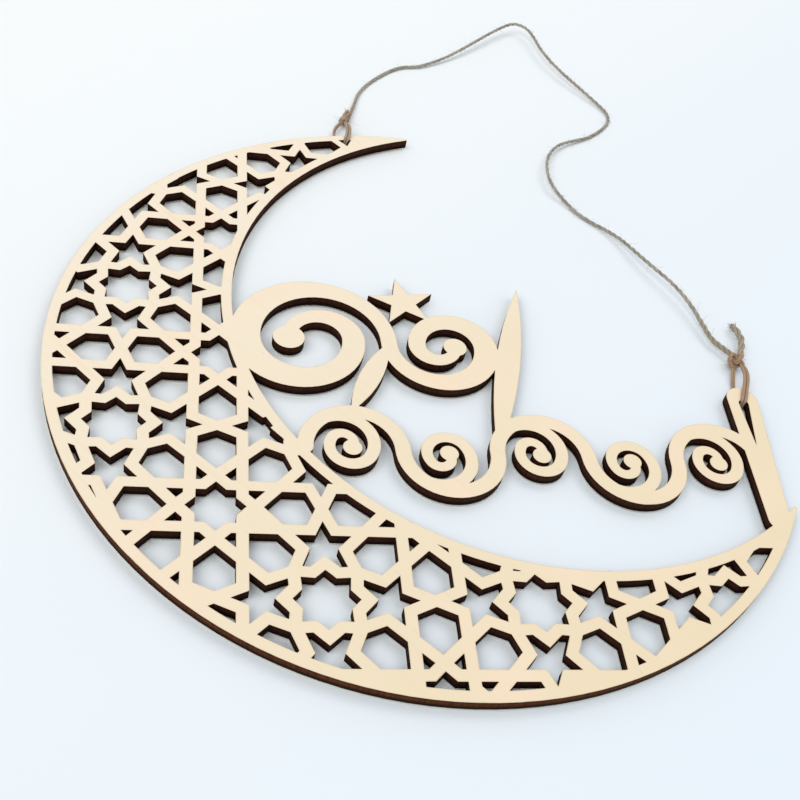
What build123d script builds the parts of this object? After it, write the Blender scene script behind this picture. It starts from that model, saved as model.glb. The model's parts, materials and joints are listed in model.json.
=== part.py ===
from build123d import *
from math import atan2, cos, degrees, hypot, radians, sin, sqrt, tan
import os

# Crescent ornament: a star-fretted crescent of thin plywood that lies face up, with scrollwork
# in its opening and a length of jute twine tied to it at two places.
# Millimetres. Until the last step the outer circle's centre is x = y = 0 and the table is z = 0.

# Crescent board
OUTER_RADIUS = 105.0
INNER_RADIUS = 90.0
CENTRE_SHIFT = 38.7
OPENING_ANGLE = 30.5
BOARD_THICK = 3.0
OUTER_RIM = 2.8
INNER_RIM = 2.9
UPPER_HORN_SOLID = 26.0
LOWER_HORN_SOLID = 20.0
HORN_BLUNT = 2.2

# Star fretwork, a square pattern of eight-pointed and five-pointed stars
STAR_PITCH = 50.2
STAR_CENTRE = (-85.0, 20.8)
STRAP = 2.95
SMALL_STAR_HALF = 6.25
SMALL_STAR_TIP = 9.3
LARGE_STAR_TIP = 9.8
LARGE_STAR_NOTCH = (7.05, 3.0)
LARGE_STAR_CORNER = 7.4
KITE_TURN = (13.4, 5.0)
TIP_BEND = 2.8
SMALLEST_OPENING = 0.65
LEFT_CLOSED = [(-50.3, -58.2), (-18.8, -100.2), (51.7, -87.7)]

# Scrollwork, joined to the inner rim at its two left ends and to the lower horn by the bud
SCROLL_OVERLAP = 1.9
VOLUTE_RISE = 39.0
FIRST_VOLUTE = (20.0, 15.0, 9.0)
FIRST_VOLUTE_WIDTHS = (4.6, 8.4, 6.4, 4.0)
FIRST_VOLUTE_BALL = 4.4
SECOND_VOLUTE = (14.0, 10.0, 5.5)
SECOND_VOLUTE_WIDTHS = (4.6, 7.0, 5.0, 3.4)
SECOND_VOLUTE_BALL = 3.4
LINK_LEAF_WIDTH = 6.0
STEM_RISE = 18.2
STEM_WAVES = 5
STEM_WIDTH = 4.2
CURL_START = 32.0
CURL_RADII = (8.6, 5.6, 3.0)
CURL_WIDTHS = (3.4, 3.4, 3.0, 2.6)
CURL_BALL = 2.5
STAR_FROM_VOLUTES = (5.6, 17.4)
STAR_RADIUS = 10.2
STAR_POINTS = 5
STAR_TILT = 8.0
PLUME_RISE = (16.5, 66.0)
PLUME_WIDTH = 7.0
BUD_FOOT_BACK = 9.9
BUD_LENGTH = 43.1
BUD_LEAN = 85.2
BUD_HEAD_WIDTH = 9.6
BUD_FOOT_WIDTH = 6.5
EYE_WIDTH = 3.0
EYE_LENGTH = 17.5
EYE_WALL = 4.8

# Twine and its two ties; the tails and the route are measured from the knots
TWINE = 1.5
FLAT_THICK = 0.7
FLAT_WIDE = 2.0
LOOP_LEAD = 2.1
LOOP_MOUTH = 1.0
TIE_BACK = 24.5
TIE_HOLE_DEPTH = 3.5
TIE_HOLE_WIDTH = 4.5
TIE_HOLE_WALL = 2.5
LEFT_KNOT_REACH = 10.1
LEFT_KNOT_LEAN = -14.3
RIGHT_KNOT_REACH = 16.4
RIGHT_KNOT_LEAN = -7.8
TWINE_SIDES = 8
KNOT_DIAMETER = 4.6
KNOT_LENGTH = 5.4
KNOT_SHOULDER = 1.5
BEND_SHARE = 0.45
LEFT_TAIL = [(-0.6, 1.0, 2.9), (0.0, 4.6, 3.1), (1.5, 8.1, 3.1)]
RIGHT_TAIL = [(1.0, 1.0, 2.4), (4.6, 8.0, 2.5), (6.0, 12.9, 2.3), (5.0, 17.3, 1.6)]
LEFT_ROUTE = [
    (0.9, 1.4, 1.7), (2.6, 10.7, 1.0), (7.1, 22.7, 0.75), (13.4, 33.8, 0.75), (22.4, 43.8, 0.75),
    (32.6, 48.6, 0.75), (42.4, 55.0, 0.75), (51.6, 64.6, 0.75), (61.6, 76.6, 0.75),
    (70.6, 85.6, 0.75), (77.6, 90.2, 0.75),
]
RIGHT_ROUTE = [
    (-28.8, 191.6, 0.75), (-26.6, 183.0, 0.75), (-25.6, 172.6, 0.75), (-22.0, 162.3, 0.75),
    (-16.2, 151.2, 0.75), (-11.2, 139.6, 0.75), (-7.6, 132.4, 0.75), (-11.2, 125.4, 0.75),
    (-19.6, 116.8, 0.75), (-28.6, 112.6, 0.75), (-35.6, 106.2, 0.75), (-40.4, 96.0, 0.75),
    (-41.7, 85.6, 0.75), (-38.6, 75.0, 0.75), (-31.2, 64.0, 0.75), (-22.6, 54.2, 0.75),
    (-15.0, 43.6, 0.75), (-9.6, 31.4, 0.75), (-5.6, 19.2, 0.75), (-2.2, 10.6, 1.1),
    (-0.4, 1.4, 2.3),
]
FIT = 0.1

LIFT = FLAT_THICK + FIT
BOARD_TOP = LIFT + BOARD_THICK
inner_centre = (CENTRE_SHIFT * cos(radians(OPENING_ANGLE)), CENTRE_SHIFT * sin(radians(OPENING_ANGLE)))


def along(point, angle, distance):
    return (point[0] + distance * cos(radians(angle)), point[1] + distance * sin(radians(angle)))


def moved(point, shift):
    return tuple(a + b for a, b in zip(point, shift))


def heading(start, end):
    return degrees(atan2(end[1] - start[1], end[0] - start[0]))


# Flat outlines, all facing up
def face_up(edges):
    face = make_face(edges).face()
    return face if face.normal_at().Z > 0 else -face


def polygon(points):
    return face_up(Polyline(*points, close=True))


# Crescent blank: two circles whose crossings are the horn tips, cut blunt
def crescent():
    blank = Circle(OUTER_RADIUS) - Pos(*inner_centre) * Circle(INNER_RADIUS)
    for tip in horn_tips():
        across = (heading((0, 0), tip) + heading(inner_centre, tip)) / 2
        blank -= Pos(*tip) * Rot(0, 0, across) * Rectangle(2 * HORN_BLUNT, 2 * HORN_BLUNT)
    return blank


def inner_rim_left(y):
    return inner_centre[0] - sqrt(INNER_RADIUS**2 - (y - inner_centre[1]) ** 2)


def horn_tips():
    flank = (OUTER_RADIUS**2 + CENTRE_SHIFT**2 - INNER_RADIUS**2) / (2 * CENTRE_SHIFT)
    spread = degrees(atan2(sqrt(OUTER_RADIUS**2 - flank**2), flank))
    return [along((0, 0), OPENING_ANGLE + side * spread, OUTER_RADIUS) for side in (1, -1)]


# Fretwork: each kind of opening is a polygon on the straps' centre lines, drawn in by half a strap
def swapped(points):
    return [(y, x) for x, y in points]


def flipped(points, middle=0.0):
    return [(x, 2 * middle - y) for x, y in points]


def quarter_turns(points):
    turns = [points]
    for _ in range(3):
        turns.append([(-y, x) for x, y in turns[-1]])
    return turns


def strap_points():
    half = STAR_PITCH / 2
    side = half - SMALL_STAR_HALF
    rise = (half - SMALL_STAR_TIP - KITE_TURN[1]) / (half - KITE_TURN[0])
    return {
        "tip": (LARGE_STAR_TIP, 0),
        "notch": LARGE_STAR_NOTCH,
        "node": (LARGE_STAR_CORNER, LARGE_STAR_CORNER),
        "turn": KITE_TURN,
        "meet": (side, KITE_TURN[1] + rise * (side - KITE_TURN[0])),
        "bend": (side, TIP_BEND),
        "middle": (half, 0),
        "cross": (half, half - SMALL_STAR_TIP),
        "nick": (half - SMALL_STAR_TIP + SMALL_STAR_HALF, side),
        "corner": (side, side),
    }


def cell_openings():
    half = STAR_PITCH / 2
    p = strap_points()
    large_star = sum(quarter_turns([p["tip"], p["notch"], p["node"], *swapped([p["notch"]])]), [])
    small_ring = [p["cross"], p["nick"], p["corner"], *swapped([p["nick"]])]
    small_ring = [(half - x, half - y) for x, y in small_ring]
    small_star = [(half + x, half + y) for x, y in sum(reversed(quarter_turns(small_ring)), [])]
    upper = [p["notch"], p["node"], p["turn"], p["meet"], p["bend"]]
    five_star = [p["tip"], *upper, p["middle"], *flipped(upper[::-1])]
    kite = [p["node"], p["turn"], p["meet"], p["corner"], *swapped([p["meet"], p["turn"]])]
    wing = [p["bend"], p["meet"]]
    shield = [p["middle"], *wing, p["cross"], *[(2 * half - x, y) for x, y in wing[::-1]]]
    wedge = [p["meet"], p["cross"], p["nick"], p["corner"]]
    openings = [large_star, small_star, *quarter_turns(five_star), *quarter_turns(kite)]
    openings += [shield, flipped(shield), swapped(shield), swapped(flipped(shield))]
    return openings + quarter_turns(wedge) + quarter_turns(swapped(wedge))


def drawn_in(points, distance):
    count = len(points)
    area = sum(points[i - 1][0] * points[i][1] - points[i][0] * points[i - 1][1] for i in range(count))
    ring = points if area > 0 else points[::-1]
    corners = []
    for i in range(count):
        before, here, after = ring[i - 1], ring[i], ring[(i + 1) % count]
        first, second = radians(heading(before, here)), radians(heading(here, after))
        half_turn = (second - first) / 2
        push = distance / cos(half_turn)
        middle = first + half_turn
        corners.append((here[0] - push * sin(middle), here[1] + push * cos(middle)))
    return corners


def in_field(point, tips):
    upper, lower = tips
    clear_of_rims = hypot(*point) < OUTER_RADIUS - OUTER_RIM
    clear_of_rims &= hypot(point[0] - inner_centre[0], point[1] - inner_centre[1]) > INNER_RADIUS + INNER_RIM
    clear_of_upper = hypot(point[0] - upper[0], point[1] - upper[1]) > UPPER_HORN_SOLID
    clear_of_lower = hypot(point[0] - lower[0], point[1] - lower[1]) > LOWER_HORN_SOLID
    return clear_of_rims and clear_of_upper and clear_of_lower


def edge_points(ring):
    return [
        (a[0] + (b[0] - a[0]) * share, a[1] + (b[1] - a[1]) * share)
        for a, b in zip(ring, ring[1:] + ring[:1])
        for share in (0, 0.25, 0.5, 0.75)
    ]


def near_field(ring):
    inside_outer = any(hypot(*point) < OUTER_RADIUS for point in ring)
    outside_inner = any(hypot(x - inner_centre[0], y - inner_centre[1]) > INNER_RADIUS for x, y in ring)
    return inside_outer and outside_inner


def stays_open(piece):
    centre = piece.center()
    closed = any(hypot(centre.X - x, centre.Y - y) < STRAP for x, y in LEFT_CLOSED)
    return piece.area > SMALLEST_OPENING and not closed


def fretwork():
    tips = horn_tips()
    field = Circle(OUTER_RADIUS - OUTER_RIM) - Pos(*inner_centre) * Circle(INNER_RADIUS + INNER_RIM)
    field -= Pos(*tips[0]) * Circle(UPPER_HORN_SOLID)
    field -= Pos(*tips[1]) * Circle(LOWER_HORN_SOLID)
    cells = [drawn_in(opening, STRAP / 2) for opening in cell_openings()]
    span = int(2 * OUTER_RADIUS / STAR_PITCH) + 1
    openings = []
    for column in range(-span, span + 1):
        for row in range(-span, span + 1):
            x = STAR_CENTRE[0] + column * STAR_PITCH
            y = STAR_CENTRE[1] + row * STAR_PITCH
            for cell in cells:
                ring = [(x + px, y + py) for px, py in cell]
                if not near_field(ring):
                    continue
                pieces = polygon(ring)
                if not all(in_field(point, tips) for point in edge_points(ring)):
                    pieces = pieces & field
                if pieces:
                    openings += [piece for piece in pieces.faces() if stays_open(piece)]
    return openings


# Scrollwork: tapered bands along tangent arcs, leaves between two arcs, a star and a bud
def band(start, angle, bends, widths, ball=0.0):
    left, right = [], []
    point = start
    for (radius, turn), wide, wide_next in zip(bends, widths, widths[1:]):
        side = 90 if turn > 0 else -90
        centre = along(point, angle + side, radius)
        edges = {90: [], -90: []}
        for share in (0, 0.5, 1):
            now = angle + turn * share
            point = along(centre, now - side, radius)
            half_width = (wide + (wide_next - wide) * share) / 2
            for edge in edges:
                edges[edge].append(along(point, now + edge, half_width))
        angle += turn
        left.append(ThreePointArc(*edges[90]))
        right.append(ThreePointArc(*edges[-90]))
    sides = left + right + [Line(left[0] @ 0, right[0] @ 0), Line(left[-1] @ 1, right[-1] @ 1)]
    return [
        face_up(sides),
        Pos(*start) * Circle(widths[0] / 2),
        Pos(*point) * Circle(max(ball, widths[-1] / 2)),
    ]


def leaf(base, tip, width):
    angle = heading(base, tip)
    middle = ((base[0] + tip[0]) / 2, (base[1] + tip[1]) / 2)
    flanks = [ThreePointArc(base, along(middle, angle + side, width / 2), tip) for side in (90, -90)]
    return face_up(flanks)


def bud_ends():
    lower_tip = heading(inner_centre, horn_tips()[1])
    foot = along(inner_centre, lower_tip - degrees(BUD_FOOT_BACK / INNER_RADIUS), INNER_RADIUS)
    return foot, along(foot, BUD_LEAN, BUD_LENGTH)


def stem_start():
    height = bud_ends()[0][1] + STEM_RISE
    return (inner_rim_left(height) - SCROLL_OVERLAP + STEM_WIDTH / 2, height)


def volute_join():
    height = stem_start()[1] + VOLUTE_RISE
    outer_edge = 2 * FIRST_VOLUTE[0] + FIRST_VOLUTE_WIDTHS[1] / 2
    return (inner_rim_left(height) - SCROLL_OVERLAP + outer_edge, height)


def stem_radius():
    end = bud_ends()[0][0] + STEM_RISE / tan(radians(BUD_LEAN))
    return (end - stem_start()[0]) / (2 * STEM_WAVES)


def five_star():
    step = 180 / STAR_POINTS
    notch = STAR_RADIUS * sin(radians(step / 2)) / sin(radians(90 - step))
    centre = moved(volute_join(), STAR_FROM_VOLUTES)
    reach = [STAR_RADIUS, notch] * STAR_POINTS
    return polygon([along(centre, 90 + STAR_TILT + step * i, radius) for i, radius in enumerate(reach)])


def stem_and_curls():
    start, radius = stem_start(), stem_radius()
    turns = [-180 if i % 2 == 0 else 180 for i in range(STEM_WAVES)]
    faces = band(start, 90, [(radius, turn) for turn in turns], [STEM_WIDTH] * (STEM_WAVES + 1))
    for i, turn in enumerate(turns):
        side = -1 if turn > 0 else 1
        crown = moved(start, (radius * (2 * i + 1), 0))
        branch = along(crown, side * (180 - CURL_START), radius)
        curl = [(curl_radius, turn) for curl_radius in CURL_RADII]
        faces += band(branch, side * (90 - CURL_START), curl, CURL_WIDTHS, CURL_BALL)
    return faces


def bud():
    ends = list(zip(bud_ends(), (BUD_FOOT_WIDTH / 2, BUD_HEAD_WIDTH / 2)))
    flanks = [along(point, BUD_LEAN + 90, half) for point, half in ends]
    flanks += [along(point, BUD_LEAN - 90, half) for point, half in reversed(ends)]
    return [polygon(flanks), *[Pos(*point) * Circle(half) for point, half in ends]]


def eye_wall():
    return along(bud_ends()[1], BUD_LEAN, BUD_HEAD_WIDTH / 2 - EYE_WALL)


def bud_eye():
    round_end = along(eye_wall(), BUD_LEAN + 180, EYE_WIDTH / 2)
    point = along(eye_wall(), BUD_LEAN + 180, EYE_LENGTH)
    sides = [along(round_end, BUD_LEAN + side, EYE_WIDTH / 2) for side in (90, -90)]
    return [Pos(*round_end) * Circle(EYE_WIDTH / 2), polygon([*sides, point])]


def scrollwork():
    join, start, radius = volute_join(), stem_start(), stem_radius()
    first_bends = [(bend, 180) for bend in FIRST_VOLUTE]
    second_bends = [(bend, 180) for bend in SECOND_VOLUTE]
    first_crown = moved(start, (radius, radius))
    plume_foot = moved(start, (4 * radius, 0))
    faces = band(join, 90, first_bends, FIRST_VOLUTE_WIDTHS, FIRST_VOLUTE_BALL)
    faces += band(join, -90, second_bends, SECOND_VOLUTE_WIDTHS, SECOND_VOLUTE_BALL)
    faces += [five_star(), leaf(first_crown, join, LINK_LEAF_WIDTH)]
    faces.append(leaf(plume_foot, moved(plume_foot, PLUME_RISE), PLUME_WIDTH))
    return faces + stem_and_curls() + bud()


def tie_angle():
    return heading((0, 0), horn_tips()[0]) + degrees(TIE_BACK / OUTER_RADIUS)


def tie_wall():
    return along((0, 0), tie_angle(), OUTER_RADIUS - TIE_HOLE_WALL)


def tie_hole():
    sides = [along(tie_wall(), tie_angle() + side, TIE_HOLE_WIDTH / 2) for side in (90, -90)]
    return polygon([*sides, along(tie_wall(), tie_angle() + 180, TIE_HOLE_DEPTH)])


def board_face():
    blank = crescent() + scrollwork()
    return blank - [*fretwork(), *bud_eye(), tie_hole()]


# Twine: eight-sided tubes along straight runs and tangent arcs, and flat loops drawn tight round the wood
def twine_section(wide, thick):
    half_side = 180 / TWINE_SIDES
    around = [along((0, 0), half_side * (2 * i + 1), 1) for i in range(TWINE_SIDES)]
    reach = 2 * cos(radians(half_side))
    return polygon([(x * wide / reach, y * thick / reach) for x, y in around])


def corner_radii(points):
    runs = [Vector(*b) - Vector(*a) for a, b in zip(points, points[1:])]
    radii = []
    for first, second in zip(runs, runs[1:]):
        half_turn = radians(first.get_angle(second)) / 2
        radii.append(BEND_SHARE * min(first.length, second.length) / tan(half_turn))
    return radii


def cord(name, points):
    radii = corner_radii(points)
    path = FilletPolyline(*points, radius=radii)
    section = twine_section(TWINE, TWINE)
    tube = sweep(Plane(origin=path @ 0, z_dir=path % 0, x_dir=side_of(path % 0)) * section, path=path)
    share = tube.volume / (path.length * section.area)
    print(f"{name}: length {path.length:.1f} mm, least radius {min(radii):.1f} mm, volume share {share:.4f}")
    return tube


def side_of(direction):
    return Vector(0, 0, 1).cross(direction)


def knot(point, towards):
    axis = Vector(*along((0, 0), heading(point, towards), 1))
    lie = Plane(origin=(*point, KNOT_DIAMETER / 2), z_dir=axis, x_dir=side_of(axis))
    barrel = extrude(twine_section(KNOT_DIAMETER, KNOT_DIAMETER), KNOT_LENGTH / 2, both=True)
    ends = barrel.faces().sort_by(Axis.Z)
    return lie * chamfer([*ends[0].edges(), *ends[-1].edges()], KNOT_SHOULDER)


def tie_loop(wall, point, wall_width, seat):
    angle = heading(wall, point)
    start = along(wall, angle + 180, FLAT_THICK / 2 + seat)
    reach = hypot(point[0] - start[0], point[1] - start[1])
    over = wall_width + seat + LOOP_LEAD
    upper = BOARD_TOP + FIT + FLAT_THICK / 2
    lower = FLAT_THICK / 2
    middle = KNOT_DIAMETER / 2
    profile = [(reach, middle + LOOP_MOUTH / 2), (over, upper), (0, upper)]
    profile += [(0, lower), (over, lower), (reach, middle - LOOP_MOUTH / 2)]
    points = [(*along(start, angle, distance), height) for distance, height in profile]
    path = FilletPolyline(*points, radius=[FLAT_THICK] * 4)
    across = Plane(origin=path @ 0, z_dir=path % 0, x_dir=(*along((0, 0), angle + 90, 1), 0))
    return sweep(across * twine_section(FLAT_WIDE, FLAT_THICK), path=path)


def twine():
    left_knot = along(tie_wall(), tie_angle() + LEFT_KNOT_LEAN, LEFT_KNOT_REACH)
    right_knot = along(eye_wall(), BUD_LEAN + RIGHT_KNOT_LEAN, RIGHT_KNOT_REACH)
    left_seat = FIT + FLAT_WIDE / 2 * abs(sin(radians(LEFT_KNOT_LEAN)))
    right_seat = FIT + EYE_WIDTH / 2 - sqrt((EYE_WIDTH / 2) ** 2 - (FLAT_WIDE / 2 + FIT) ** 2)
    from_left = [moved((*left_knot, 0), step) for step in LEFT_ROUTE]
    from_right = [moved((*right_knot, 0), step) for step in RIGHT_ROUTE]
    return {
        "left_tie_loop": tie_loop(tie_wall(), left_knot, TIE_HOLE_WALL, left_seat),
        "right_tie_loop": tie_loop(eye_wall(), right_knot, EYE_WALL, right_seat),
        "left_knot": knot(left_knot, from_left[1]),
        "right_knot": knot(right_knot, from_right[-2]),
        "hanging_twine": cord("hanging_twine", from_left + from_right),
        "left_tail": cord("left_tail", [moved((*left_knot, 0), step) for step in LEFT_TAIL]),
        "right_tail": cord("right_tail", [moved((*right_knot, 0), step) for step in RIGHT_TAIL]),
    }


# The origin is under the middle of the board and its loops, on the table
os.makedirs("parts", exist_ok=True)
nodes = {"board": Pos(0, 0, LIFT) * extrude(board_face(), BOARD_THICK)} | twine()
seated = ["board", "left_tie_loop", "right_tie_loop"]
box = Compound([solid for name in seated for solid in nodes[name].solids()]).bounding_box()
origin = Pos(-(box.min.X + box.max.X) / 2, -(box.min.Y + box.max.Y) / 2, 0)
print(f"outer circle's centre at {origin.position.X:.3f}, {origin.position.Y:.3f}")
for name, shape in nodes.items():
    export_step(origin * shape, f"parts/{name}.step")
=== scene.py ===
# %% [markdown]
# # An eid crescent ornament in plywood and twine
# The ornament is a crescent cut by laser from thin plywood, with star fretwork
# between its rims and scrollwork in its opening. A twine is tied to it at both ends
# and lies loose on the table above it. The solid board comes from the CAD model and
# stays as it is; this lesson gives it light, a camera, a wood finish and real twine
# in place of the plain CAD tubes.

import json
import math
import random

import bmesh
import bpy
from mathutils import Euler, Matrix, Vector, noise

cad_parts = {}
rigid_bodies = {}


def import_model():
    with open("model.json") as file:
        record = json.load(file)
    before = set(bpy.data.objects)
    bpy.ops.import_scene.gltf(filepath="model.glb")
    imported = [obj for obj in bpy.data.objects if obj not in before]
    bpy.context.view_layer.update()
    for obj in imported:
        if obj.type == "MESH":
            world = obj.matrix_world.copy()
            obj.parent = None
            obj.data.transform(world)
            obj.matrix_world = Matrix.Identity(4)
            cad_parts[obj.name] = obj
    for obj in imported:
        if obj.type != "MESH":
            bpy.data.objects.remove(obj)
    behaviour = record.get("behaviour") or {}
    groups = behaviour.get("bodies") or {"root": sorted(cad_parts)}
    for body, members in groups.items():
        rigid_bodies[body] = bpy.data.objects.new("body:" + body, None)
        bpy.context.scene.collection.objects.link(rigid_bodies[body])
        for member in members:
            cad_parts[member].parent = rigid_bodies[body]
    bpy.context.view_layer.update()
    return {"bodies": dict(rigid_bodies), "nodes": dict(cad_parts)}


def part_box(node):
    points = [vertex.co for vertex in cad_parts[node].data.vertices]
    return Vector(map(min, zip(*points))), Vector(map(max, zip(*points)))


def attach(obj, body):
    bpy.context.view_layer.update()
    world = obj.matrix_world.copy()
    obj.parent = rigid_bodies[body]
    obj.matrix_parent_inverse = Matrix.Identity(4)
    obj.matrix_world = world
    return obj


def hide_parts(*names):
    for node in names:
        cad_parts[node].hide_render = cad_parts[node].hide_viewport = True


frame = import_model()
BODY = next(iter(frame["bodies"]))
MM = 0.001
scene = bpy.context.scene
scene.view_settings.view_transform = "Standard"
print("nodes:", sorted(frame["nodes"]), "on body", BODY)

# %% [markdown]
# ## The camera
# The photograph looks down at the table at about 46 degrees, turned a little to the
# left. A camera can be aimed with a Track To constraint, but a fitted one is better
# set by its own place, its three turns and its lens, so that the stars of the
# fretwork fall where the picture has them.

# %% Camera
CAMERA_PLACE = Vector((-65.13, -215.84, 213.29)) * MM
CAMERA_TURN = (43.222, -10.494, -5.636)
LENS_LENGTH = 49.448
SENSOR_WIDTH = 36
NEAREST_SEEN = 10 * MM
camera = bpy.data.objects.new("camera", bpy.data.cameras.new("camera"))
camera.location = CAMERA_PLACE
camera.rotation_euler = Euler([math.radians(a) for a in CAMERA_TURN], "XYZ")
camera.data.lens = LENS_LENGTH
camera.data.sensor_width = SENSOR_WIDTH
camera.data.clip_start = NEAREST_SEEN
scene.collection.objects.link(camera)
scene.camera = camera
print("camera at", tuple(round(c, 4) for c in CAMERA_PLACE))

# %% [markdown]
# ## Node helpers
# A finish is a small network of nodes. Writing each node, its settings and its
# links as one call keeps the network readable: a value goes straight onto a socket,
# and another node's output is linked to it.


# %% Node helpers
def add_node(tree, kind, settings=None, **sockets):
    node = tree.nodes.new("ShaderNode" + kind)
    for key, value in (settings or {}).items():
        setattr(node, key, value)
    for key, value in sockets.items():
        place = int(key[2:]) if key.startswith("at") else key.replace("_", " ")
        if isinstance(value, bpy.types.NodeSocket):
            tree.links.new(value, node.inputs[place])
        else:
            node.inputs[place].default_value = value
    return node


def math_node(tree, operation, *values):
    inputs = {f"at{i}": value for i, value in enumerate(values)}
    return add_node(tree, "Math", {"operation": operation}, **inputs).outputs[0]


def vector_node(tree, operation, first, second):
    return add_node(tree, "VectorMath", {"operation": operation}, at0=first, at1=second)


def mix_colour(tree, share, first, second, blend="MIX"):
    settings = {"data_type": "RGBA", "blend_type": blend}
    return add_node(tree, "Mix", settings, at0=share, at6=first, at7=second).outputs[2]


def ramp(tree, value, low, high, most=1.0):
    node = add_node(tree, "MapRange", {"interpolation_type": "SMOOTHSTEP"}, Value=value)
    node.inputs["From Min"].default_value = low
    node.inputs["From Max"].default_value = high
    node.inputs["To Max"].default_value = most
    return node.outputs["Result"]


def noise_on(tree, place, scale, detail=2.0):
    spread = add_node(tree, "Mapping", Vector=place, Scale=scale).outputs[0]
    return add_node(tree, "TexNoise", Vector=spread, Scale=1.0, Detail=detail).outputs["Fac"]


def new_finish(name):
    finish = bpy.data.materials.new(name)
    finish.use_nodes = True
    return finish, finish.node_tree, finish.node_tree.nodes["Principled BSDF"]


# %% [markdown]
# ## Table
# The ornament lies on a white table with painted shade: it is darker and a little
# bluer towards the lower right, where the light falls off.
# One flat grid is enough for it. It is much wider than the picture, so that it also
# fills the other views, and it lies a hair lower than the twine's underside, because
# two surfaces in one place would flicker.

# %% Table
HALF_TABLE = 3.0
TABLE_DROP = 0.05 * MM
DOWN_RIGHT = (0.7, -0.7, 0)
TABLE_WHITE = (0.92, 0.943, 0.945, 1)
TABLE_SHADED_BLUER = (0.80, 0.87, 0.935, 1)
table_mesh = bmesh.new()
bmesh.ops.create_grid(table_mesh, x_segments=1, y_segments=1, size=HALF_TABLE)
bmesh.ops.translate(table_mesh, verts=table_mesh.verts, vec=(0, 0, -TABLE_DROP))
table = bpy.data.objects.new("table", bpy.data.meshes.new("table"))
table_mesh.to_mesh(table.data)
table_mesh.free()
scene.collection.objects.link(table)

table_finish, tree, shader = new_finish("white_table")
place = add_node(tree, "TexCoord").outputs["Object"]
across = vector_node(tree, "DOT_PRODUCT", place, DOWN_RIGHT).outputs["Value"]
# painted shade: the table's colour turns darker and bluer towards the lower right
table_colour_with_shade = mix_colour(tree, ramp(tree, across, -0.25, 0.2), TABLE_WHITE, TABLE_SHADED_BLUER)
tree.links.new(table_colour_with_shade, shader.inputs["Base Color"])
shader.inputs["Roughness"].default_value = 0.75
shader.inputs["Specular IOR Level"].default_value = 0.1
table.data.materials.append(table_finish)
print("table", HALF_TABLE * 2, "m wide")

# %% [markdown]
# ## Light
# The picture's light is soft and seems to come from two sides. Area lamps would
# leave the far table grey, so a Sun lamp with a wide angle stands for each side: it
# lights the whole table evenly, and its shadows are soft. The front one reaches the
# feet of the cut walls, the back one lays the twine's shadow to the left, and an
# even world light fills the openings.

# %% Light
LAMPS = {
    "front_window": (Vector((-1.1, -0.8, 2.0)), 1.34),
    "back_window": (Vector((0.9, 0.7, 2.1)), 0.76),
}
WINDOW_SPREAD = math.radians(45)
WINDOW_COLOUR = (1.0, 0.985, 0.96)
for name, (lamp_place, power) in LAMPS.items():
    lamp = bpy.data.objects.new(name, bpy.data.lights.new(name, "SUN"))
    lamp.data.angle = WINDOW_SPREAD
    lamp.data.energy = power
    lamp.data.color = WINDOW_COLOUR
    lamp.location = lamp_place
    lamp.rotation_euler = lamp_place.to_track_quat("Z", "Y").to_euler()
    scene.collection.objects.link(lamp)
print("lamps", {name: power for name, (_, power) in LAMPS.items()})

# %% Room light
ROOM_LIGHTING = 0.495
ROOM_SEEN = 0.95
ROOM_COLOUR = (0.925, 0.96, 1, 1)
world = bpy.data.worlds.new("room")
world.use_nodes = True
scene.world = world
tree = world.node_tree
path = add_node(tree, "LightPath")
seen = math_node(tree, "MAXIMUM", path.outputs["Is Camera Ray"], path.outputs["Is Glossy Ray"])
seen = math_node(tree, "MAXIMUM", seen, path.outputs["Is Transmission Ray"])
room_strength = add_node(tree, "MapRange", Value=seen)
room_strength.inputs["To Min"].default_value = ROOM_LIGHTING
room_strength.inputs["To Max"].default_value = ROOM_SEEN
room_light = tree.nodes["Background"]
room_light.inputs["Color"].default_value = ROOM_COLOUR
tree.links.new(room_strength.outputs[0], room_light.inputs["Strength"])
print("room lights with", ROOM_LIGHTING, "and is seen at", ROOM_SEEN)

# %% [markdown]
# ## Plywood: the sanded face
# The face is a pale veneer with faint straight grain. A picture of wood could be laid
# on it, but noise that is stretched along the grain needs no picture and has no seam.
# Broad patches, streaks and a few dark flecks lie over painted shade: a slow change
# from pale to darker and warmer towards the lower right, where the light falls off.

# %% Veneer
GRAIN_ANGLE = math.radians(-47)
PALE_VENEER = (0.94, 0.842, 0.695, 1)
SHADED_WARM_VENEER = (0.862, 0.725, 0.51, 1)
PATCH = (0.95, 0.76, 0.58, 1)
STREAK = (0.84, 0.67, 0.46, 1)
FLECK = (0.6, 0.42, 0.26, 1)
plywood, tree, shader = new_finish("plywood")
spot = add_node(tree, "TexCoord")
place = spot.outputs["Object"]
grain = add_node(tree, "Mapping", Vector=place, Rotation=(0, 0, -GRAIN_ANGLE)).outputs[0]
patches = noise_on(tree, place, (38, 38, 38))
streaks = noise_on(tree, grain, (22, 620, 60), detail=4.0)
flecks = noise_on(tree, grain, (230, 2300, 300), detail=1.0)
across = vector_node(tree, "DOT_PRODUCT", place, DOWN_RIGHT).outputs["Value"]
# painted shade: the face is painted darker and warmer towards the lower right
veneer = mix_colour(tree, ramp(tree, across, -0.16, 0.13), PALE_VENEER, SHADED_WARM_VENEER)
veneer = mix_colour(tree, ramp(tree, patches, 0.45, 0.75, most=0.6), veneer, PATCH)
veneer = mix_colour(tree, ramp(tree, streaks, 0.5, 0.78, most=0.3), veneer, STREAK)
veneer = mix_colour(tree, ramp(tree, flecks, 0.72, 0.82, most=0.4), veneer, FLECK)
print("veneer", len(tree.nodes), "nodes")

# %% [markdown]
# ## Plywood: the singed line beside each cut
# The beam's heat leaves a thin brown line on the face, darker in some places. Painting
# it along every opening would be long work. A Bevel node rounds the normals near an
# edge, so where they differ from the true normal a cut is near.

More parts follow.
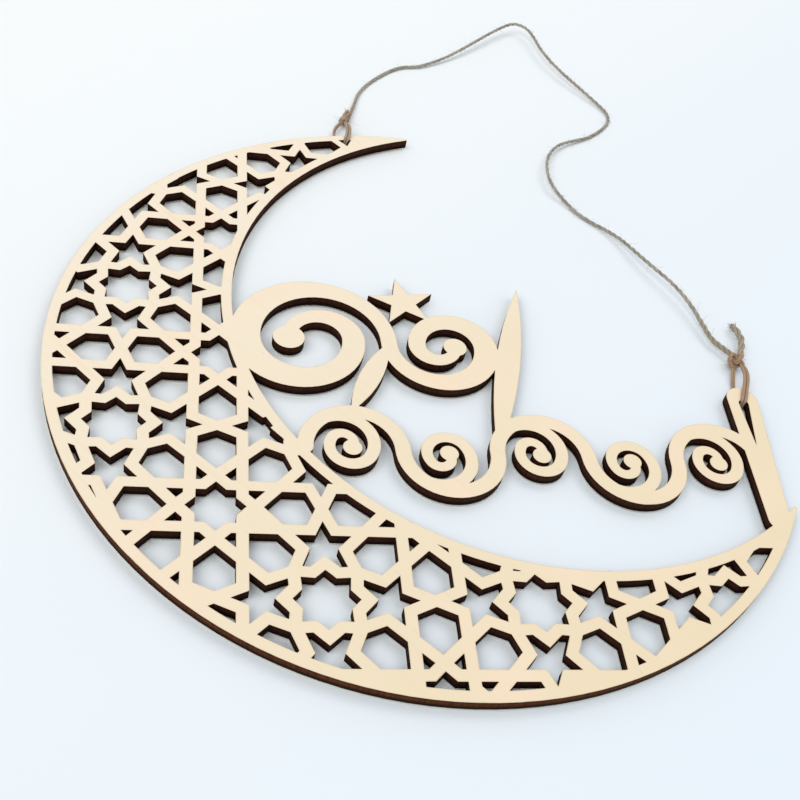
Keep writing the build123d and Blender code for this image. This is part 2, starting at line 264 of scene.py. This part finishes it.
# %% Singed line
SINGE_REACH = 0.7 * MM
SINGE = (0.2, 0.11, 0.06, 1)
FAINT_LINE = 0.25
SMUDGE = 0.7
rounded = add_node(tree, "Bevel", {"samples": 6}, Radius=SINGE_REACH).outputs[0]
true_normal = add_node(tree, "NewGeometry").outputs["True Normal"]
alike = vector_node(tree, "DOT_PRODUCT", rounded, true_normal).outputs["Value"]
by_cut = ramp(tree, alike, 1.0, 0.72)
sooty = ramp(tree, noise_on(tree, place, (140, 140, 140)), 0.6, 0.78)
smudges = math_node(tree, "MULTIPLY", by_cut, sooty)
faint_line = math_node(tree, "MULTIPLY", by_cut, FAINT_LINE)
singe = math_node(tree, "MULTIPLY_ADD", smudges, SMUDGE, faint_line)
veneer = mix_colour(tree, singe, veneer, SINGE)
print("singed line within", SINGE_REACH / MM, "mm of a cut")

# %% [markdown]
# ## Plywood: the charred walls
# The cut walls are charred nearly black, with a reddish band where the middle ply
# shows. The height within the board picks the band from a colour ramp, and two
# noises add soot, one in upright streaks and one along the layers. The outer rim is
# painted lighter and browner than the walls of the openings: this is painted light,
# as the outer rim faces the lamps while the openings' walls lie in shade. Its
# distance from the crescent's middle tells it from them.

# %% Charred walls
BOARD_LOW, BOARD_HIGH = (corner.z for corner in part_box("board"))
PLY_BANDS = [
    (0.0, (0.009, 0.0045, 0.0035)),
    (0.3, (0.012, 0.0055, 0.004)),
    (0.42, (0.04, 0.0135, 0.0075)),
    (0.62, (0.062, 0.019, 0.0095)),
    (0.85, (0.05, 0.017, 0.0085)),
    (0.95, (0.018, 0.008, 0.005)),
]
SOOT = (0.009, 0.0045, 0.0035, 1)
height = add_node(tree, "SeparateXYZ", Vector=place).outputs["Z"]
level = add_node(tree, "MapRange", Value=height)
level.inputs["From Min"].default_value = BOARD_LOW
level.inputs["From Max"].default_value = BOARD_HIGH
plies = add_node(tree, "ValToRGB", Fac=level.outputs[0])
bands = plies.color_ramp
for at, colour in PLY_BANDS:
    stop = bands.elements.new(at) if at else bands.elements[0]
    stop.color = (*colour, 1)
bands.elements.remove(bands.elements[len(bands.elements) - 1])
scorch = noise_on(tree, place, (1400, 1400, 120))
layers = noise_on(tree, place, (45, 45, 5200), detail=1.0)
char = mix_colour(tree, ramp(tree, scorch, 0.4, 0.75, most=0.55), plies.outputs["Color"], SOOT)
char = mix_colour(tree, ramp(tree, layers, 0.5, 0.72, most=0.5), char, SOOT)
print("walls", len(bands.elements), "bands over", round((BOARD_HIGH - BOARD_LOW) / MM, 2), "mm")

# %% Outer rim, painted lighter
CRESCENT_RADIUS = 105 * MM
RIM_DEPTH = 0.4 * MM
RIM_PAINTED_LIGHT = (1.95, 1.9, 1.4, 1)
board_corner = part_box("board")[0]
centre = (board_corner.x + CRESCENT_RADIUS, board_corner.y + CRESCENT_RADIUS, 0)
flat_place = vector_node(tree, "MULTIPLY", place, (1, 1, 0)).outputs[0]
from_centre = vector_node(tree, "DISTANCE", flat_place, centre).outputs["Value"]
rim_painted_lighter = math_node(tree, "GREATER_THAN", from_centre, CRESCENT_RADIUS - RIM_DEPTH)
# painted light: the outer rim's wall is painted about twice as light as the openings' walls
char = mix_colour(tree, rim_painted_lighter, char, RIM_PAINTED_LIGHT, "MULTIPLY")
print("crescent's middle at", tuple(round(c / MM, 1) for c in centre))

# %% [markdown]
# ## Plywood: face and walls together
# One finish holds both. The object's normal tells them apart: it points up or down on
# the two faces and sideways on the walls, which are also a little rougher.

# %% Finish of the board
FACE_ROUGHNESS = 0.6
WALL_ROUGHNESS = 0.8
facing = add_node(tree, "SeparateXYZ", Vector=spot.outputs["Normal"]).outputs["Z"]
on_face = math_node(tree, "GREATER_THAN", math_node(tree, "ABSOLUTE", facing), 0.5)
smoother = FACE_ROUGHNESS - WALL_ROUGHNESS
roughness = math_node(tree, "MULTIPLY_ADD", on_face, smoother, WALL_ROUGHNESS)
grit = math_node(tree, "MULTIPLY_ADD", streaks, 0.5, scorch)
bump = add_node(tree, "Bump", Height=grit, Strength=0.12, Distance=0.1 * MM)
tree.links.new(mix_colour(tree, on_face, char, veneer), shader.inputs["Base Color"])
tree.links.new(roughness, shader.inputs["Roughness"])
tree.links.new(bump.outputs[0], shader.inputs["Normal"])
shader.inputs["Specular IOR Level"].default_value = 0.04

board = frame["nodes"]["board"]
board.data.materials.clear()
board.data.materials.append(plywood)
print("board finished with", len(tree.nodes), "nodes")

# %% [markdown]
# ## The twine's line
# The thin twine lies in loose curves with one sharp kink, and it is springy enough to
# stand a few millimetres off the table between the places where it rests. Its route
# is a list of points, in millimetres from the knot at either end. They are the
# control points of one NURBS curve, which gives a smooth line without any corner of
# its own.

# %% Route of the twine
LEFT_KNOT = (-13.62, 107.81, 0)
RIGHT_KNOT = (98.62, 2.88, 0)
LEFT_ROUTE = [
    (1.5, 4.0, 1.9), (4.5, 15.0, 1.2), (7.5, 27.0, 0.7), (16.0, 38.5, 0.7), (24.5, 46.5, 0.7),
    (31.5, 47.5, 0.7), (41.0, 53.5, 1.5), (49.0, 60.0, 2.5), (59.5, 70.5, 3.5), (69.0, 80.0, 4.0),
]
RIGHT_ROUTE = [
    (-36.5, 190.0, 4.2), (-31.0, 185.5, 4.2), (-29.0, 170.5, 3.8), (-24.0, 158.5, 3.2),
    (-17.0, 148.0, 2.2), (-11.0, 139.5, 1.1), (-8.0, 133.0, 0.7), (-11.0, 125.5, 0.7),
    (-20.0, 116.5, 0.7), (-27.5, 112.5, 1.3), (-35.0, 107.0, 2.3), (-41.0, 97.0, 3.2),
    (-42.5, 86.0, 3.2), (-41.0, 80.0, 2.4), (-38.0, 75.5, 1.2), (-35.0, 70.5, 0.7),
    (-30.5, 65.5, 0.7), (-26.5, 62.0, 1.1), (-22.5, 56.0, 2.1), (-19.5, 48.5, 3.1),
    (-16.0, 41.0, 3.8), (-11.5, 33.5, 4.1), (-8.0, 25.5, 3.7), (-6.0, 16.5, 2.9),
    (-4.5, 10.0, 2.3), (-1.5, 6.5, 2.2), (0.5, 3.5, 2.5),
]


def from_point(start, steps):
    return [(Vector(start) + Vector(step)) * MM for step in steps]


def smooth_line(points, per_span):
    curve = bpy.data.curves.new("line", "CURVE")
    curve.dimensions = "3D"
    curve.resolution_u = per_span
    spline = curve.splines.new("NURBS")
    spline.points.add(len(points) - 1)
    for control, point in zip(spline.points, points):
        control.co = (*point, 1)
    spline.order_u = 3
    spline.use_endpoint_u = True
    holder = bpy.data.objects.new("line", curve)
    mesh = bpy.data.meshes.new_from_object(holder)
    line = [v.co.copy() for v in mesh.vertices]
    bpy.data.objects.remove(holder)
    bpy.data.curves.remove(curve)
    bpy.data.meshes.remove(mesh)
    return line


def length_of(line):
    return sum((b - a).length for a, b in zip(line, line[1:]))


route = from_point(LEFT_KNOT, LEFT_ROUTE) + from_point(RIGHT_KNOT, RIGHT_ROUTE)
twine_line = smooth_line(route, 32)
print(len(twine_line), "points,", round(length_of(twine_line) / MM, 1), "mm of twine")

# %% [markdown]
# ## Strands along a line
# Twine is spun yarns laid round each other. Each winds round the line as a helix, a
# little thicker in some places than in others. A frame that is carried along the
# line, turned as little as possible, keeps the winding even in the bends. A poly
# curve with a round bevel makes the tubes, which then become one mesh.


# %% Frames and helices
def carried_frames(line):
    ahead = [(b - a).normalized() for a, b in zip(line, line[1:])]
    ahead.append(ahead[-1])
    side = ahead[0].cross(Vector((0, 0, 1))).normalized()
    frames = []
    for way in ahead:
        side = (side - way * side.dot(way)).normalized()
        frames.append((side, way.cross(side), way))
    return frames


def ply_points(line, plies, spread, pitch, start_angle, seed, swell):
    angle = start_angle
    for i, (side, up, way) in enumerate(carried_frames(line)):
        if i and pitch:
            loose = 1 + 0.35 * noise.noise(line[i] / MM * 0.06 + Vector((seed, 0, 0)))
            angle += 2 * math.pi * (line[i] - line[i - 1]).length / pitch * loose
        turns = [angle + 2 * math.pi * ply / plies for ply in range(plies)]
        reach = spread * swell(line[i])
        yield [line[i] + (side * math.cos(turn) + up * math.sin(turn)) * reach for turn in turns]


# %% Tubes
def mesh_of(name, curve, long=1.0):
    holder = bpy.data.objects.new("holder", curve)
    mesh = bpy.data.meshes.new_from_object(holder)
    bpy.data.objects.remove(holder)
    bpy.data.curves.remove(curve)
    shell = bmesh.new()
    shell.from_mesh(mesh)
    bmesh.ops.remove_doubles(shell, verts=shell.verts, dist=0.001 * MM)
    shell.to_mesh(mesh)
    shell.free()
    for corner in mesh.uv_layers[0].data:
        corner.uv.y *= long / MM
    mesh.name = name
    mesh.shade_smooth()
    piece = bpy.data.objects.new(name, mesh)
    scene.collection.objects.link(piece)
    return piece


def new_curve(thick, sides):
    curve = bpy.data.curves.new("plies", "CURVE")
    curve.dimensions = "3D"
    curve.bevel_depth = thick / 2
    curve.bevel_resolution = (sides - 4) // 2
    curve.use_fill_caps = True
    return curve


def add_strand(curve, points, radii):
    spline = curve.splines.new("POLY")
    spline.points.add(len(points) - 1)
    for control, point, radius in zip(spline.points, points, radii):
        control.co = (*point, 1)
        control.radius = radius


# %% Plies along a line
STRAND_SIDES = 8


def even(point):
    return 1.0


def plies_along(
    name, line, plies, thick, spread, pitch=0, start_angle=0.0, slub=0.16, seed=0, swell=even
):
    curve = new_curve(thick, STRAND_SIDES)
    strands = zip(*ply_points(line, plies, spread, pitch, start_angle, seed, swell))
    for ply, strand in enumerate(strands):
        points = [Vector((p.x, p.y, max(p.z, 0.5 * thick))) for p in strand]
        lumps = [noise.noise(p / MM * 0.45 + Vector((9 * ply, seed, 0))) for p in points]
        add_strand(curve, points, [(1 + slub * lump) * swell(p) for lump, p in zip(lumps, points)])
    return mesh_of(name, curve, length_of(line))


# %% [markdown]
# ## The hanging twine
# Three plies are drawn a little thinner than the CAD tube, as the picture shows them,
# and the whole twine is thicker towards the right knot.

# %% Hanging twine
PLIES = 3
PLY = 0.55 * MM
PLY_SPREAD = 0.33 * MM
LAY = 7.5 * MM
THICKER = 0.45
THICK_REACH = 22 * MM
twine_pieces = {}


def thick_by_knot(point):
    away = (point - Vector(RIGHT_KNOT) * MM).length
    return 1 + THICKER * min(max(1.35 - away / THICK_REACH, 0), 1)


twine_pieces["hanging_twine"] = plies_along(
    "twine_hanging", twine_line, PLIES, PLY, PLY_SPREAD, LAY,
    slub=0.24, seed=1, swell=thick_by_knot,
)
print("hanging twine:", len(twine_pieces["hanging_twine"].data.polygons), "faces")

# %% [markdown]
# ## The ties
# At each end the twine goes over the wood, down through an opening, under the wood
# and back to its knot. Pulled tight it is flat: two bundles of fibre side by side, thin
# enough to pass under the board, and looser where they lie on top of it.

# %% Ties round the wood
LEFT_TIE = [
    (-13.2, 109.6, 3.0), (-12.7, 106.0, 4.3), (-12.7, 102.4, 4.9), (-13.1, 99.4, 4.7),
    (-13.75, 97.3, 4.3), (-14.1, 96.9, 2.4), (-14.3, 97.1, 0.5), (-15.0, 98.6, 0.36),
    (-15.9, 100.4, 0.4), (-17.1, 102.6, 0.8), (-17.2, 105.4, 1.7), (-16.0, 107.8, 2.4),
    (-14.2, 109.8, 2.8),
]
RIGHT_TIE = [
    (99.8, 3.4, 3.2), (99.6, -0.8, 4.3), (98.6, -5.0, 5.0), (97.0, -9.0, 4.6),
    (95.6, -12.4, 4.55), (94.95, -14.0, 4.2), (94.85, -14.2, 2.2), (94.85, -14.0, 0.5),
    (95.0, -12.4, 0.36), (95.4, -9.0, 0.36), (95.9, -5.6, 0.6), (96.6, -2.0, 1.3),
    (97.7, 1.4, 2.2),
]
BUNDLES = 2
FLAT_PLY = 0.68 * MM
LOOSE_SHARE = 0.45
LOOSE_HEIGHT = 0.6 * MM


def loose_on_top(point):
    return 1 + LOOSE_SHARE * min(max((point.z - BOARD_HIGH) / LOOSE_HEIGHT + 0.4, 0), 1)


for side, points in (("left", LEFT_TIE), ("right", RIGHT_TIE)):
    line = smooth_line(from_point((0, 0, 0), points), 10)
    twine_pieces[f"{side}_tie_loop"] = plies_along(
        f"twine_{side}_tie", line, BUNDLES, FLAT_PLY, 0.5 * FLAT_PLY,
        slub=0.0, seed=3, swell=loose_on_top,
    )
    print(side, "tie", round(length_of(line) / MM, 1), "mm round the wood")

# %% [markdown]
# ## The knots
# Each tie is closed with a knot, made here as a plain overhand knot pulled tight. Its
# line is a trefoil: two turns round the twine while it goes in and out three times.
# Twisted yarns laid along that line give the lumps and crossings that a solid ball
# can't.

# %% Overhand knots
KNOT_STEPS = 96
KNOT_PLY = 0.74 * MM
KNOT_LAY = 5 * MM
KNOTS = {
    "left": ((-13.3, 111.6, 2.1), math.radians(76.3), 0.68, 0.52, 1.2),
    "right": ((98.9, 3.9, 3.0), math.radians(101.7), 1.4, 0.8, 1.8),
}


def overhand_line(centre, heading, turn_radius, weave, stretch):
    axis = Vector((math.cos(heading), math.sin(heading), 0))
    side = Vector((0, 0, 1)).cross(axis)
    line = []
    for step in range(KNOT_STEPS + 1):
        t = 2 * math.pi * step / KNOT_STEPS
        reach = turn_radius + weave * math.cos(3 * t)
        offset = axis * weave * stretch * math.sin(3 * t) + side * reach * math.cos(2 * t)
        line.append((Vector(centre) + offset + Vector((0, 0, reach * math.sin(2 * t)))) * MM)
    return line


for side, shape in KNOTS.items():
    line = overhand_line(*shape)
    knot = plies_along(
        f"twine_{side}_knot", line, PLIES, KNOT_PLY, 0.5 * KNOT_PLY, KNOT_LAY, seed=5
    )
    twine_pieces[f"{side}_knot"] = knot
    print(side, "knot", [round(d / MM, 1) for d in knot.dimensions], "mm")

# %% [markdown]
# ## The cut ends
# Past its knot the twine ends in a short tail. Nothing holds the yarns together
# there, so they open out into a thicker, looser twist.

# %% Tails
LEFT_TAIL = [(0.0, 2.4, 2.9), (0.5, 5.0, 3.1), (1.7, 8.4, 2.9)]
RIGHT_TAIL = [
    (1.0, 1.0, 2.6), (3.6, 5.4, 3.0), (5.4, 10.6, 2.8), (5.7, 14.6, 2.3), (4.8, 17.6, 1.9),
]
left_tail_line = smooth_line(from_point(LEFT_KNOT, LEFT_TAIL), 16)
right_tail_line = smooth_line(from_point(RIGHT_KNOT, RIGHT_TAIL), 16)
twine_pieces["left_tail"] = plies_along(
    "twine_left_tail", left_tail_line, PLIES, 1.05 * MM, 0.58 * MM, 14 * MM, seed=8
)
twine_pieces["right_tail"] = plies_along(
    "twine_right_tail", right_tail_line, PLIES, 1.0 * MM, 0.54 * MM, 12 * MM, seed=9
)
print("tails", [round(length_of(line) / MM, 1) for line in (left_tail_line, right_tail_line)], "mm")

# %% [markdown]
# ## Stray fibres
# The twine is hairy. A few hundred short fibres leave the yarns at a low angle, bend,
# and stop above the table, and at the cut ends they stand apart like a brush. Each is
# a thin four-sided tube of three runs, so that hundreds of them stay light.

# %% Fibre helpers
dice = random.Random(11)
FIBRE = 0.07 * MM
FIBRE_SIDES = 4
FIBRE_RUNS = 3
FUZZ_ROOT = 0.4 * MM


def fibre_points(root, way, length, droop):
    points = [root]
    for _ in range(FIBRE_RUNS):
        way = (way + Vector([dice.uniform(-droop, droop) for _ in range(3)])).normalized()
        step = points[-1] + way * length / FIBRE_RUNS
        points.append(Vector((step.x, step.y, max(step.z, FIBRE))))
    return points


def fuzz_on(curve, line, count, length, lift):
    frames = carried_frames(line)
    for _ in range(count):
        i = dice.randrange(2, len(line) - 2)
        side, up, way = frames[i]
        angle = dice.uniform(0, 2 * math.pi)
        out = side * math.cos(angle) + up * math.sin(angle)
        start = line[i] + out * FUZZ_ROOT
        heading = (way * dice.choice((-1, 1)) + out * dice.uniform(*lift)).normalized()
        points = fibre_points(start, heading, dice.uniform(*length) * MM, 0.3)
        add_strand(curve, points, (1, 0.9, 0.7, 0.4))


def brush_on(curve, line, count, length, width):
    way = (line[-1] - line[-4]).normalized()
    for _ in range(count):
        aside = Vector([dice.uniform(-1, 1) for _ in range(3)])
        root = line[-3] + aside * width
        heading = (way + aside * 0.4).normalized()
        points = fibre_points(root, heading, dice.uniform(*length) * MM, 0.25)
        add_strand(curve, points, (1, 1, 0.8, 0.5))


# %% Stray fibres
BRUSH_WIDTH = 0.8 * MM
fuzz = new_curve(FIBRE, FIBRE_SIDES)
fuzz_on(fuzz, twine_line, 260, (1.2, 4.0), (0.25, 0.9))
fuzz_on(fuzz, right_tail_line, 26, (1.5, 3.5), (0.3, 0.9))
fuzz_on(fuzz, left_tail_line, 16, (1.2, 2.6), (0.3, 0.9))
for shape in KNOTS.values():
    fuzz_on(fuzz, overhand_line(*shape), 16, (2.0, 6.0), (0.8, 2.0))
brush_on(fuzz, right_tail_line, 60, (0.7, 1.5), BRUSH_WIDTH)
brush_on(fuzz, left_tail_line, 40, (0.6, 1.3), BRUSH_WIDTH)
fuzz_piece = mesh_of("twine_fibres", fuzz)
print("fibres:", len(fuzz_piece.data.polygons), "faces")

# %% [markdown]
# ## Finish of the twine
# The free twine is a dull grey tan, lighter in one place and darker in the next. It is
# browner towards the left knot, olive towards the right one, reddish on the right
# knot and tie, and dark between its fibres. Each of these zones is a soft ball round
# a point, given by its middle, the distance where it ends, the distance where it is
# full, and its colour.

# %% Jute
LIGHT_YARN = (0.50, 0.465, 0.39, 1)
DARK_YARN = (0.365, 0.325, 0.275, 1)
BETWEEN_FIBRES = (0.245, 0.21, 0.165, 1)
BROWN_ZONES = [
    (LEFT_KNOT, 30, 8, (0.44, 0.29, 0.20, 1)),
    (RIGHT_KNOT, 30, 8, (0.40, 0.325, 0.225, 1)),
    ((97.6, -4.5, 3.0), 13, 9, (0.45, 0.265, 0.16, 1)),
]
BROWN_SHARE = 0.75
jute, tree, shader = new_finish("jute")
spot = add_node(tree, "TexCoord")
place = spot.outputs["Object"]
shade = noise_on(tree, place, (260, 260, 260))
fibre = noise_on(tree, spot.outputs["UV"], (11, 0.7, 1), detail=3.0)
yarn = mix_colour(tree, ramp(tree, shade, 0.35, 0.65), LIGHT_YARN, DARK_YARN)
for middle, ends, full, brown in BROWN_ZONES:
    away = vector_node(tree, "DISTANCE", place, Vector(middle) * MM).outputs["Value"]
    in_zone = ramp(tree, away, ends * MM, full * MM, most=BROWN_SHARE)
    yarn = mix_colour(tree, in_zone, yarn, brown)
yarn = mix_colour(tree, ramp(tree, fibre, 0.45, 0.75), yarn, BETWEEN_FIBRES)
bump = add_node(tree, "Bump", Height=fibre, Strength=0.5, Distance=0.15 * MM)
tree.links.new(yarn, shader.inputs["Base Color"])
tree.links.new(bump.outputs[0], shader.inputs["Normal"])
shader.inputs["Roughness"].default_value = 0.9
shader.inputs["Specular IOR Level"].default_value = 0.15
print("jute", len(tree.nodes), "nodes")

# %% [markdown]
# ## Riding on the body
# Every twine piece rides on the ornament's one body and stands for the CAD node of
# the same place.

# %% Ride
for node, piece in twine_pieces.items():
    piece.data.materials.append(jute)
    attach(piece, BODY)
    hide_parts(node)
fuzz_piece.data.materials.append(jute)
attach(fuzz_piece, BODY)
round(length_of(twine_line), 3)
print(len(twine_pieces) + 1, "twine pieces ride on", BODY)
